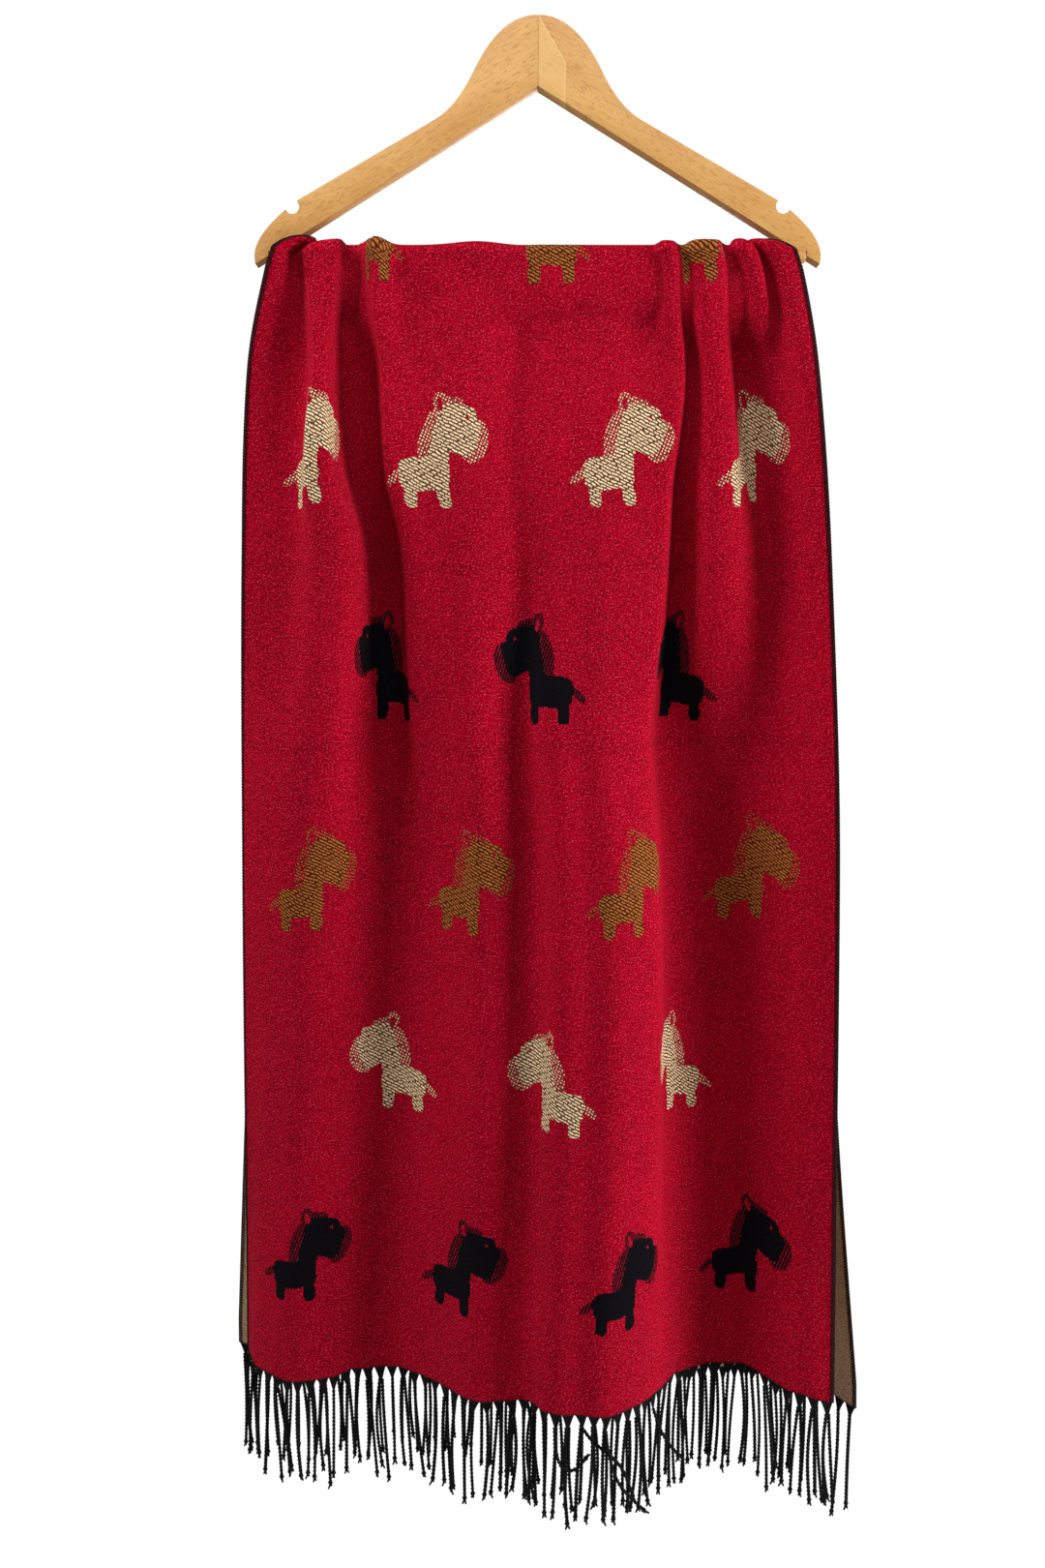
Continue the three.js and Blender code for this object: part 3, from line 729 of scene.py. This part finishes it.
def make_arm(name, side):
    """One arm, cut from a board: straight under edge, domed crown, round shoulder and strap notch."""
    outline = [
        ((SEAM, -20), (SEAM, -ARM_UNDER), (70, -92.5)),
        ((150, -140), (ARM_SPAN, -ARM_DROP), (220.7, -180)),
        ((220.9, -179), (221, -177), (221.5, -164)),
        ((206, -148), (186, -134.5), (150, -114.5)),
        ((110, -92.5), (80, -76), (68, -69.2)),
        ((58, -58), (48, -38), (37, -17.5)),
        ((22, 0), (SEAM, 0), (SEAM, -10)),
    ]
    piece = board(name, [tuple((side * x, z) for x, z in knot) for knot in outline])
    notch = (side * NOTCH["out"], 0, -NOTCH["down"])
    strap = rod(NOTCH["radius"], NOTCH["through"], notch, (QUARTER, 0, 0))
    seat = rod(BAR_RADIUS + GAP, 2 * BAR_HALF + 2 * GAP, (0, 0, -BAR_DOWN), (0, QUARTER, 0))
    select_only(piece)
    bpy.ops.object.mode_set(mode="EDIT")
    bpy.ops.mesh.select_all(action="SELECT")
    bpy.ops.mesh.remove_doubles(threshold=0.00002)
    bpy.ops.mesh.normals_make_consistent(inside=False)
    bpy.ops.object.mode_set(mode="OBJECT")
    for tool in (strap, seat):
        cut = piece.modifiers.new("cut", "BOOLEAN")
        cut.operation = "DIFFERENCE"
        cut.solver = "EXACT"
        cut.object = tool
    apply_modifiers(piece)
    for tool in (strap, seat):
        bpy.data.objects.remove(tool)
    round_edges(piece, ARM_ROUNDING, segments=4, least_turn=38)
    shade_smooth(piece, 30)
    return piece


def make_bar():
    """The round trouser bar, with its ends let into the arms."""
    piece = rod(BAR_RADIUS, 2 * BAR_HALF, (0, 0, -BAR_DOWN), (0, QUARTER, 0))
    piece.name = "bar"
    piece.data.name = "bar"
    bpy.ops.object.transform_apply(location=True, rotation=True, scale=True)
    round_edges(piece, BAR_ROUNDING, segments=3, least_turn=30)
    shade_smooth(piece, 40)
    return piece


# ======== Finishes ========
class Wire:
    """An output socket in a material. Sums of wires and numbers add Math nodes."""

    def __init__(self, tree, socket):
        self.tree = tree
        self.socket = socket

    def node(self, kind, settings=None, inputs=None, out=0):
        """A new node with its settings made first, then the values or links of its sockets."""
        made = self.tree.nodes.new(kind)
        for key, value in (settings or {}).items():
            setattr(made, key, value)
        for key, value in (inputs or {}).items():
            if isinstance(value, Wire):
                self.tree.links.new(value.socket, made.inputs[key])
            else:
                made.inputs[key].default_value = value
        return Wire(self.tree, made.outputs[out])

    def math(self, operation, *values):
        return self.node("ShaderNodeMath", {"operation": operation}, dict(enumerate(values)))

    def __add__(self, other):
        return self.math("ADD", self, other)

    def __sub__(self, other):
        return self.math("SUBTRACT", self, other)

    def __rsub__(self, other):
        return self.math("SUBTRACT", other, self)

    def __mul__(self, other):
        return self.math("MULTIPLY", self, other)

    def __truediv__(self, other):
        return self.math("DIVIDE", self, other)

    def __lt__(self, other):
        return self.math("LESS_THAN", self, other)

    def __gt__(self, other):
        return self.math("GREATER_THAN", self, other)

    __radd__ = __add__
    __rmul__ = __mul__

    def floor(self):
        return self.math("FLOOR", self)

    def fraction(self):
        return self.math("FRACT", self)

    def modulo(self, other):
        return self.math("FLOORED_MODULO", self, other)

    def size(self):
        return self.math("ABSOLUTE", self)

    def sine(self):
        return self.math("SINE", self)

    def larger(self, other):
        return self.math("MAXIMUM", self, other)

    def smaller(self, other):
        return self.math("MINIMUM", self, other)

    def clipped(self, low=0.0, high=1.0):
        return self.math("MINIMUM", self.math("MAXIMUM", self, low), high)

    def vector(self, x, y, z=0.0):
        return self.node("ShaderNodeCombineXYZ", None, {0: x, 1: y, 2: z})

    def noise(self, scale, detail=2.0, rough=0.5):
        """Noise read at this place."""
        inputs = {"Vector": self, "Scale": scale, "Detail": detail, "Roughness": rough}
        return self.node("ShaderNodeTexNoise", {"noise_dimensions": "3D"}, inputs)

    def mix(self, first, second):
        """Two colours mixed by this wire."""
        settings = {"data_type": "RGBA", "clamp_factor": True}
        return self.node("ShaderNodeMix", settings, {0: self, 6: first, 7: second}, out=2)


def srgb(red, green, blue):
    """A linear colour from the three values a colour card gives."""
    linear = []
    for value in (red, green, blue):
        share = value / 255
        linear.append(share / 12.92 if value <= 10 else ((share + 0.055) / 1.055) ** 2.4)
    return (*linear, 1.0)


def grey(wire):
    """The same value in all three channels of a colour."""
    return wire.node("ShaderNodeCombineColor", None, {0: wire, 1: wire, 2: wire})


def scaled(place, factors):
    """A place with each of its axes stretched or shrunk."""
    return place.node("ShaderNodeVectorMath", {"operation": "MULTIPLY"}, {0: place, 1: factors})


def material(name):
    """A new material, its Principled shader and its node tree."""
    made = bpy.data.materials.new(name)
    made.use_nodes = True
    tree = made.node_tree
    shader = tree.nodes["Principled BSDF"]
    return made, shader, tree


def finish_shader(tree, shader, colour, roughness, height, bump, depth, constants):
    """Links what changes over the surface, and sets the rest on the shader's own sockets.

    height drives a bump of some strength, whose depth is in metres.
    """
    lift = colour.node("ShaderNodeBump", None, {"Strength": bump, "Distance": depth, "Height": height})
    tree.links.new(colour.socket, shader.inputs["Base Color"])
    tree.links.new(lift.socket, shader.inputs["Normal"])
    if isinstance(roughness, Wire):
        tree.links.new(roughness.socket, shader.inputs["Roughness"])
    else:
        shader.inputs["Roughness"].default_value = roughness
    for key, value in constants.items():
        shader.inputs[key].default_value = value


RED = srgb(204, 0, 42)
RED_DARK = srgb(92, 0, 8)
RED_SPECK = srgb(232, 72, 100)
RED_SHEEN = srgb(255, 190, 196)
TAUPE = srgb(222, 186, 152)
TAUPE_DARK = srgb(140, 108, 84)
TAUPE_SPECK = srgb(164, 142, 112)
BROWN = srgb(178, 106, 50)
# The brown and cream gap colours are painted shade for the grooves between floats
BROWN_GAP_SHADE = srgb(56, 20, 10)
CREAM = srgb(255, 226, 180)
CREAM_GAP_SHADE = srgb(72, 26, 20)
NAVY = srgb(14, 13, 18)
# Faint lines of painted shade across the cloth, standing in for the shade of packing creases: millimetres
# from the bar, and half width.
CREASE_SHADE_LINES = ((255, 5), (401, 7))
END_STEP = 1.15  # the loom's step across the cloth, which the ponies' outlines follow
PICK_STEP = 1.0  # and its step along it
HATCH_PITCH = 2.5
HATCH_SHARE = 0.5  # of the pitch that a stroke fills
NAVY_MORE = 0.24  # the navy rows' strokes fill this much more of it
FLOAT_PITCH = 2.4
FLOAT_LONG = 5.2
TWILL_PITCH = 2.3


def blob(p, q, at, size, lean=0, square=False):
    """Above nought inside an oval, or a rounded block, that leans by some degrees."""
    cos, sin = math.cos(math.radians(lean)), math.sin(math.radians(lean))
    a = (p - at[0]) * (cos / size[0]) + (q - at[1]) * (sin / size[0])
    b = (q - at[1]) * (cos / size[1]) - (p - at[0]) * (sin / size[1])
    a = a * a
    b = b * b
    return 1 - (a * a + b * b) if square else 1 - (a + b)


def joined(shapes):
    """The union of blobs, as nought or one."""
    whole = shapes[0]
    for shape in shapes[1:]:
        whole = whole.larger(shape)
    return whole > 0


def pony(p, q):
    """A stout toy pony that faces along p: its solid parts, and its hatched mane, muzzle and tail."""
    solid = joined([
        blob(p, q, (-12, -16), (21.5, 13), 3, square=True),  # barrel
        blob(p, q, (3, -30), (5.4, 12.5), 4, square=True),  # fore leg
        blob(p, q, (-25, -30), (5.2, 12.5), -4, square=True),  # hind leg
        blob(p, q, (2, 4), (8.8, 24), -10, square=True),  # neck
        blob(p, q, (14, 22.5), (16.5, 14.5), -10, square=True),  # brow
        blob(p, q, (22, 13), (12, 15.5), -20, square=True),  # cheek and jaw
    ])
    hatched = joined([
        blob(p, q, (31, 8), (12, 17), -16),  # muzzle
        blob(p, q, (-8, 13), (8, 21.5), -14),  # mane
        blob(p, q, (9, 39), (11, 4), -6),  # forelock
        blob(p, q, (-38, -19), (3.4, 9.5), -50),  # tail
        blob(p, q, (0, 39), (6, 9), 14),  # ear
    ])
    bare = joined([
        blob(p, q, (23, 27), (1.3, 1.3)),  # eye
        blob(p, q, (0, 38), (2.2, 5.5), 14),  # inside of the ear
    ])
    return solid, hatched, bare


def pony_cells(u, w, place):
    """Where the ponies stand, stepped as the loom steps them.

    Gives p and q from the middle of the pony that is nearest, nought or one for whether one stands
    there, and the row's turn in the order of colours: nought, one or two.
    """
    jog = (place.noise(0.9, 1) - 0.5) * 1.6
    us = (u / END_STEP + jog * 0.3).floor() * END_STEP
    ws = (w / PICK_STEP + jog).floor() * PICK_STEP
    ws = ws + (ws - EASE_FROM).larger(0) * EASE
    row = ((ws - FIRST_ROW) / ROW_PITCH + 0.5).floor()
    q = (row * ROW_PITCH + FIRST_ROW) - ws
    odd = row.modulo(2)
    p = (us - odd * (REPEAT / 2) + REPEAT / 2).modulo(REPEAT) - REPEAT / 2
    p = p * (odd * 2 - 1) * PONY_NARROWING
    inside = ((us - CLOTH_WIDTH / 2).size() < CLOTH_WIDTH / 2 - PLAIN_EDGE).larger(odd)
    return p, q, inside, row.modulo(3)


def by_turn(turn, first, second, third):
    """One of three colours, by the row's turn."""
    return (turn > 1.5).mix((turn > 0.5).mix(first, second), third)


def make_inlay(u, w, place):
    """The woven ponies: where they are, the colour of their floats with painted shade in the gaps, and
    how high the floats stand.
    """
    p, q, inside, turn = pony_cells(u, w, place)
    solid, hatched, bare = pony(p, q)
    strokes = ((u * 0.94 + w * 0.34) / HATCH_PITCH).fraction() < HATCH_SHARE + (turn > 1.5) * NAVY_MORE
    inlay = solid.larger(hatched * strokes) * (1 - bare) * inside

    # Long floats: slanting dashes, with painted shade darkening the gaps between them
    across_float = (w * 0.88 - u * 0.46) / FLOAT_PITCH + (place.noise(0.12, 1) - 0.5) * 1.2
    along_float = (u * 0.88 + w * 0.46) / FLOAT_LONG + across_float.floor() * 0.37
    groove = (across_float.fraction() - 0.5).size() * 2
    dash_end = (along_float + place.noise(0.35, 1)).fraction() < 0.2
    gap = dash_end.larger((groove - 0.42) * 4).clipped()
    height = (1 - groove * groove) * (1 - gap)

    # Painted shade: the gaps between floats take a darker copy of each row's colour
    yarn = (gap * 0.95).mix(by_turn(turn, BROWN, CREAM, NAVY), by_turn(turn, BROWN_GAP_SHADE, CREAM_GAP_SHADE, NAVY))
    spun = 0.6 + place.noise(0.8, 2, 0.7) * 0.8
    settings = {"data_type": "RGBA", "blend_type": "MULTIPLY"}
    yarn = yarn.node("ShaderNodeMix", settings, {0: 0.75, 6: yarn, 7: grey(spun)}, out=2)
    return inlay, yarn, height


def make_ground(u, w, place, reverse):
    """The fine twill ground: its colour and its height."""
    twill = ((u + w * 0.8) * (2 * math.pi / TWILL_PITCH)).sine()
    slant = place.vector(u * 0.9 + w * 0.42, w * 0.9 - u * 0.42)
    grain = scaled(slant, (0.62, 1.3, 1)).noise(1.0, 2, 0.7)

    # Thick and thin weft, and slow changes over the cloth
    slub = place.vector(u / 9, w * 0.8).noise(1.0, 2)
    patch = place.vector(u / 16, w / 11).noise(1.0, 3, 0.6)
    broad = place.vector(u / 90, w / 140).noise(1.0, 2)
    shade = (grain - 0.5) * 6.5 + (slub - 0.5) * 1.2 + (patch - 0.5) * 0.6
    shade = shade + (broad - 0.5) * 0.4 + twill * 0.2
    # Painted shade: each packing crease darkens the tone in a faint line across the cloth
    for at, wide in CREASE_SHADE_LINES:
        shade = shade - (1 - ((w - at).size() / wide)).clipped() * (0.14 + (patch - 0.5) * 0.8)
    deep, light, pale = (TAUPE_DARK, TAUPE, TAUPE_SPECK) if reverse else (RED_DARK, RED, RED_SPECK)
    colour = (shade + 0.5).clipped().mix(deep, light)

    # The paler threads beneath show through as specks, and the overlock darkens the edges
    speck = place.vector(u * 0.6, w * 0.75, 7.0).noise(1.0, 2, 0.7)
    fleck = ((speck - 0.57) * 14).clipped() * 0.7
    edge = (CLOTH_WIDTH / 2 - (u - CLOTH_WIDTH / 2).size()) < STITCH_DEEP
    colour = (edge * 0.6).mix(fleck.mix(colour, pale), NAVY)
    return colour, grain * 1.4 + speck * 0.8 + twill * 0.2 + slub * 0.5


def make_jacquard(name, reverse):
    """The cloth: a fine twill ground with woven ponies, read on the flat cut in millimetres."""
    made, shader, tree = material(name)
    flat = Wire(tree, tree.nodes.new("ShaderNodeUVMap").outputs[0])
    u = flat.node("ShaderNodeSeparateXYZ", None, {0: flat}, out=0) * 1000
    w = flat.node("ShaderNodeSeparateXYZ", None, {0: flat}, out=1) * 1000
    place = u.vector(u, w)
    inlay, yarn, float_height = make_inlay(u, w, place)
    ground, ground_height = make_ground(u, w, place, reverse)
    if reverse:
        colour = (inlay * 0.8).mix(ground, RED_DARK)
    else:
        colour = inlay.mix(ground, yarn)
    height = ground_height * (1 - inlay) + (float_height * 0.9 + 0.5) * inlay
    finish_shader(tree, shader, colour, 0.92, height, 0.7, 0.0007, {
        "Sheen Weight": 0.02,
        "Sheen Roughness": 0.45,
        "Sheen Tint": RED_SHEEN,
        "Specular IOR Level": 0.03,
    })
    return made


def make_yarn(name, dark, light, gloss):
    """Spun yarn: fine fibres along it, with lighter hairs."""
    made, shader, tree = material(name)
    here = Wire(tree, tree.nodes.new("ShaderNodeTexCoord").outputs["Object"])
    fibre = here.noise(900, 3, 0.6)
    patch = here.noise(60, 2)
    colour = ((fibre - 0.35) * 1.6 * patch).clipped().mix(dark, light)
    constants = {"Specular IOR Level": 0.18}
    finish_shader(tree, shader, colour, gloss, fibre, 0.6, 0.0002, constants)
    return made


BEECH_DARK = srgb(196, 136, 66)
BEECH_PALE = srgb(226, 178, 108)
BEECH_FLECK = srgb(160, 100, 44)
WEDGE_PALE = srgb(234, 192, 122)
WEDGE_LINE = srgb(244, 212, 150)
SEAM_DARK = srgb(150, 96, 44)
WEDGE_SLOPE = 0.62  # how fast the wedge widens below the top of the crown
WEDGE_WIDE = 21.5  # until it is as wide as this


def add_wedge(here, colour):
    """The paler wedge of the joint beside the seam, with its light outline, and the dark seam."""
    x = here.node("ShaderNodeSeparateXYZ", None, {0: here}, out=0) * 1000
    z = here.node("ShaderNodeSeparateXYZ", None, {0: here}, out=2) * -1000
    edge = (z * WEDGE_SLOPE).smaller(WEDGE_WIDE - z * 0.01) - x
    colour = ((edge > 0) * 0.45).mix(colour, WEDGE_PALE)
    colour = ((edge.size() < 0.5) * 0.35).mix(colour, WEDGE_LINE)
    return ((x < 0.9) * 0.35).mix(colour, SEAM_DARK)


def make_wood(name, lean, shift, wedge=False):
    """Lacquered beech: straight grain along the arm, short flecks, and paler and darker bands."""
    made, shader, tree = material(name)
    here = Wire(tree, tree.nodes.new("ShaderNodeTexCoord").outputs["Object"])
    turned = here.node("ShaderNodeMapping", None, {
        "Vector": here, "Rotation": (0, math.radians(lean), 0), "Location": shift,
    })
    along = scaled(turned, (0.06, 1, 1))
    fine = along.noise(900, 4, 0.6)
    band = along.noise(70, 3, 0.5)
    cloud = turned.noise(18, 3, 0.55)
    fleck = scaled(turned, (0.22, 1, 1)).noise(700, 1)
    tone = ((band - 0.5) * 0.9 + (cloud - 0.5) * 0.9 + (fine - 0.5) * 0.55 + 0.5).clipped()
    colour = tone.mix(BEECH_DARK, BEECH_PALE)
    colour = ((0.42 - fleck) * 6).clipped(0, 0.35).mix(colour, BEECH_FLECK)
    if wedge:
        colour = add_wedge(here, colour)
    gloss = 0.36 + fine * 0.16
    constants = {"Coat Weight": 0.35, "Coat Roughness": 0.22, "Specular IOR Level": 0.45}
    finish_shader(tree, shader, colour, gloss, fine * 0.5 + fleck * 0.5, 0.12, 0.0003, constants)
    return made


# ======== Studio ========
WHITE = 1.02  # strength at which the floor and the backdrop read as plain white
# Rows of softboxes: name, place and target in metres, width, height and watts.
SOFTBOXES = [
    ("left softbox", (-1.36, -0.52, 0.45), (0, 0, -0.45), 0.5, 1.0, 24),
    ("right softbox", (1.36, -0.45, -0.6), (0, 0, -0.6), 0.5, 0.9, 24.5),
    ("top softbox", (0, -0.7, 0.75), (0, 0, -0.3), 1.0, 0.4, 9),
    ("back softbox", (0.5, 1.7, 0.3), (0, 0, -0.6), 1.2, 1.2, 24),
]


def soft_light(name, place, target, width, height, power):
    """A rectangular softbox that faces its target."""
    data = bpy.data.lights.new(name, "AREA")
    data.shape = "RECTANGLE"
    data.size = width
    data.size_y = height
    data.energy = power
    light = bpy.data.objects.new(name, data)
    light.location = place
    light.rotation_euler = (Vector(target) - Vector(place)).to_track_quat("-Z", "Y").to_euler()
    bpy.context.scene.collection.objects.link(light)


def make_backdrop():
    """A world that is white to the camera and gives the cloth only a little light."""
    world = bpy.data.worlds.new("studio")
    bpy.context.scene.world = world
    world.use_nodes = True
    tree = world.node_tree
    background = tree.nodes["Background"]
    direct = Wire(tree, tree.nodes.new("ShaderNodeLightPath").outputs["Is Camera Ray"])
    strength = direct * WHITE + (1 - direct) * 0.05
    tree.links.new(strength.socket, background.inputs["Strength"])
    background.inputs["Color"].default_value = (1, 1, 1, 1)


def make_floor():
    """A pale floor that is white to the camera."""
    bpy.ops.object.select_all(action="DESELECT")
    bpy.ops.mesh.primitive_plane_add(size=14, location=(0, 2, -1.5))
    floor = bpy.context.object
    floor.name = "floor"
    bpy.ops.object.transform_apply(location=True, rotation=True, scale=True)
    made, shader, tree = material("pale floor")
    shader.inputs["Base Color"].default_value = (0.7, 0.7, 0.7, 1)
    shader.inputs["Roughness"].default_value = 0.9
    direct = Wire(tree, tree.nodes.new("ShaderNodeLightPath").outputs["Is Camera Ray"])
    lit = direct.node("ShaderNodeEmission", None, {"Color": (1, 1, 1, 1), "Strength": WHITE})
    both = direct.node("ShaderNodeMixShader", None, {0: direct, 1: Wire(tree, shader.outputs[0]), 2: lit})
    tree.links.new(both.socket, tree.nodes["Material Output"].inputs["Surface"])
    floor.data.materials.append(made)


def make_studio():
    """The backdrop, the floor, a softbox on each side, one above and one behind."""
    bpy.context.scene.view_settings.view_transform = "Standard"
    make_backdrop()
    make_floor()
    for softbox in SOFTBOXES:
        soft_light(*softbox)


# ======== Assembly ========
make_camera()
scarf, grid = make_scarf()
for face in (make_jacquard("red jacquard", reverse=False), make_jacquard("taupe reverse", reverse=True)):
    scarf.data.materials.append(face)
apply_modifiers(scarf)
shade_smooth(scarf, 60)
front_tassels, back_tassels = make_fringes(grid)
left_overlock = make_overlock("left_overlock", grid, 0, 4)
right_overlock = make_overlock("right_overlock", grid, -1, -5)
arms = [make_arm("left_arm", -1), make_arm("right_arm", 1)]
bar = make_bar()

black_yarn = make_yarn("black yarn", srgb(5, 4, 6), srgb(26, 23, 27), 0.8)
overlock_yarn = make_yarn("overlock yarn", srgb(14, 8, 10), srgb(64, 20, 24), 0.7)
UNDER_SLOPE = math.degrees(math.atan2(ARM_DROP - ARM_UNDER, ARM_SPAN))
wood = {
    "left_arm": make_wood("left beech", UNDER_SLOPE, (0.4, 0, 0.1)),
    "right_arm": make_wood("right beech", -UNDER_SLOPE, (0.9, 0, 0.7), wedge=True),
    "bar": make_wood("bar beech", 0, (1.7, 0, 0.3)),
}

for tassels in (front_tassels, back_tassels):
    tassels.data.materials.append(black_yarn)
for overlock in (left_overlock, right_overlock):
    overlock.data.materials.append(overlock_yarn)
for piece in (*arms, bar):
    piece.data.materials.append(wood[piece.name])

for piece in (scarf, front_tassels, back_tassels, left_overlock, right_overlock, *arms, bar):
    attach(piece, "root")
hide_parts("front_fall", "bar_fold", "back_fall")
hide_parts("front_fringe")
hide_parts("back_fringe")
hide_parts("hanger_arm_left")
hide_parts("hanger_arm_right")
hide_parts("trouser_bar")

make_studio()
